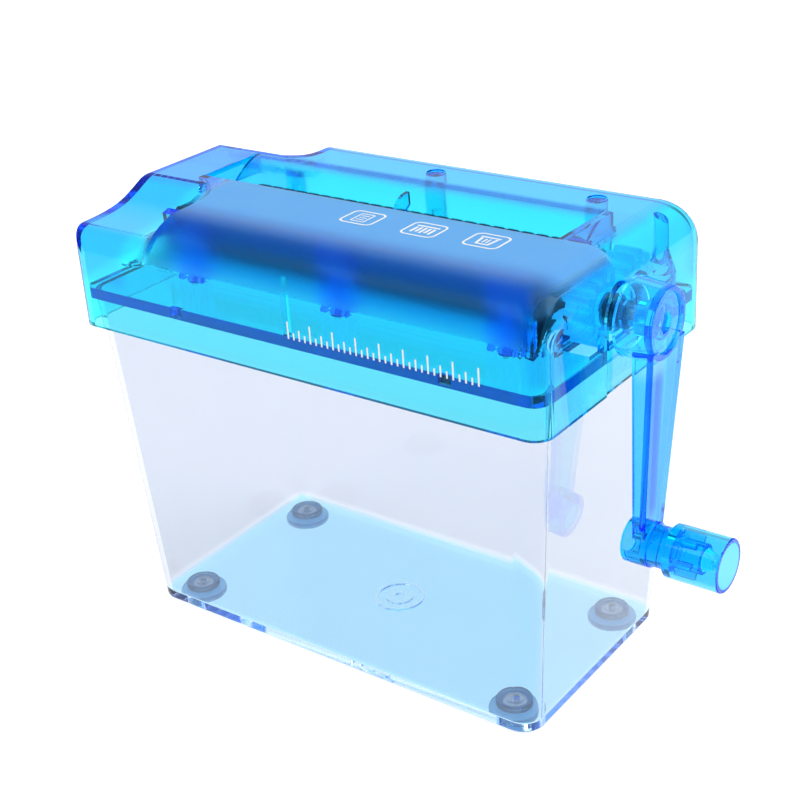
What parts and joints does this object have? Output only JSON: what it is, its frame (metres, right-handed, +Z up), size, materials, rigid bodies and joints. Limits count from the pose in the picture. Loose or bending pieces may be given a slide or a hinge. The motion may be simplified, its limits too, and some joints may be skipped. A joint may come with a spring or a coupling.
{
  "type": "hand-crank paper shredder",
  "caption": "Hand-crank mini paper shredder: a transparent blue cutting head with a slot, geared cutter rollers and a crank, on a clear tapered bin.",
  "frame": {"origin": "on the surface that the feet stand on, under the middle of the whole object's box with the crank and its knob", "axes": "+X along the rollers towards the crank, +Y to the back, +Z up"},
  "size_m": [0.2034, 0.0914, 0.1424],
  "materials": {
    "bin_clear": "clear injection-moulded polystyrene, polished",
    "foot_rubber": "grey-blue translucent rubber",
    "cover_blue": "transparent blue polystyrene, frosted on the front barrel",
    "tray_blue": "transparent blue polystyrene",
    "comb_blue": "transparent blue polystyrene",
    "crank_blue": "transparent blue polystyrene",
    "gear_blue": "pale blue translucent nylon",
    "black_plastic": "black moulded acetal",
    "spacer_plastic": "black moulded plastic",
    "cutter_steel": "blued, ground steel",
    "shaft_steel": "drawn hexagon bar",
    "clip_steel": "spring steel",
    "screw_steel": "zinc plated"
  },
  "bodies": {
    "bin": {"waste_bin": "bin_clear", "rubber_feet": "foot_rubber"},
    "head": {"top_cover": "cover_blue", "base_tray": "tray_blue", "cover_screws": "screw_steel", "right_end_plate": "black_plastic", "left_end_plate": "tray_blue", "front_stripper_comb": "comb_blue", "rear_stripper_comb": "comb_blue"},
    "crank": {"crank_arm": "crank_blue", "front_cutter_shaft": "shaft_steel", "front_cutter_discs": "cutter_steel", "front_spacers": "spacer_plastic", "front_shaft_bushes": "black_plastic", "front_shaft_clips": "clip_steel", "crank_bush": "black_plastic", "drive_gear": "gear_blue"},
    "rear_roller": {"rear_cutter_shaft": "shaft_steel", "rear_cutter_discs": "cutter_steel", "rear_spacers": "spacer_plastic", "rear_shaft_bushes": "black_plastic", "rear_shaft_clips": "clip_steel", "driven_gear": "gear_blue"},
    "knob": {"knob": "crank_blue"}
  },
  "joints": [
    {"name": "head_lift", "type": "slide", "parent": "bin", "child": "head", "axis": [0, 0, 1], "range_m": [0, 0.12]},
    {"name": "crank_turn", "type": "hinge", "parent": "head", "child": "crank", "pos_m": [0, -0.004, 0.125], "axis": [1, 0, 0], "continuous": true},
    {"name": "rear_roller_turn", "type": "hinge", "parent": "head", "child": "rear_roller", "pos_m": [0, 0.014, 0.125], "axis": [1, 0, 0], "continuous": true},
    {"name": "knob_spin", "type": "hinge", "parent": "crank", "child": "knob", "pos_m": [0, -0.004, 0.056], "axis": [1, 0, 0], "continuous": true}
  ],
  "couplings": [
    {"joint": "rear_roller_turn", "follows": "crank_turn", "ratio": -1}
  ]
}
